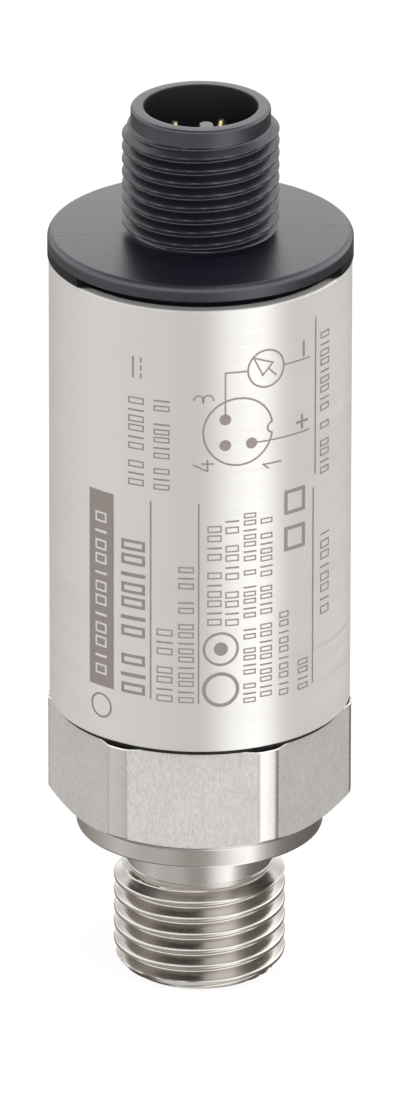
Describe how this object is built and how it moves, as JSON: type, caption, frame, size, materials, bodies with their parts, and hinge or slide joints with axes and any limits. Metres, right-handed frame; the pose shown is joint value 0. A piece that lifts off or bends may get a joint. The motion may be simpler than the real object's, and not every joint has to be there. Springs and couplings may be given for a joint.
{
  "type": "pressure transmitter",
  "caption": "Round stainless pressure transmitter: G1/4 male process thread and wrench flats below, plain sleeve, keyed M12 plug above.",
  "frame": {"origin": "centre of the sealing face under the collar, on the axis", "axes": "+Z along the axis from the process thread to the plug; a wrench flat faces -Y; the plug's key lies 9.4 degrees from -Y towards +X"},
  "size_m": [0.0232, 0.0232, 0.0708],
  "materials": {
    "body_steel": "turned and milled stainless steel",
    "sleeve_steel": "satin, brushed round",
    "cap_plastic": "fine matt grain",
    "contact_gold": "gold flash",
    "seal_rubber": "satin",
    "cell_ceramic": "ground matt",
    "terminal_metal": "tinned",
    "ring_brass": "turned",
    "board_laminate": "solder resist, satin",
    "chip_black": "matt",
    "resistor_black": "matt",
    "capacitor_ceramic": "fired, satin",
    "header_plastic": "matt",
    "holder_plastic": "natural, matt",
    "spring_steel": "bright",
    "membrane_white": "matt"
  },
  "bodies": {
    "root": {"process_connection": "body_steel", "cell_seal_ring": "seal_rubber", "pressure_cell": "cell_ceramic", "cell_terminals": "terminal_metal", "cell_board": "board_laminate", "conditioning_chip": "chip_black", "board_header": "header_plastic", "header_pins": "contact_gold", "retaining_ring": "ring_brass", "case_sleeve": "sleeve_steel", "board_holder": "holder_plastic", "main_board": "board_laminate", "output_chip": "chip_black", "voltage_regulator": "chip_black", "surge_diodes": "chip_black", "chip_capacitors": "capacitor_ceramic", "chip_resistors": "resistor_black", "earth_spring": "spring_steel", "contact_pin_1": "contact_gold", "contact_pin_3": "contact_gold", "contact_pin_4": "contact_gold", "connector_cap": "cap_plastic", "cap_seal_ring": "seal_rubber", "vent_membrane": "membrane_white"}
  },
  "joints": []
}
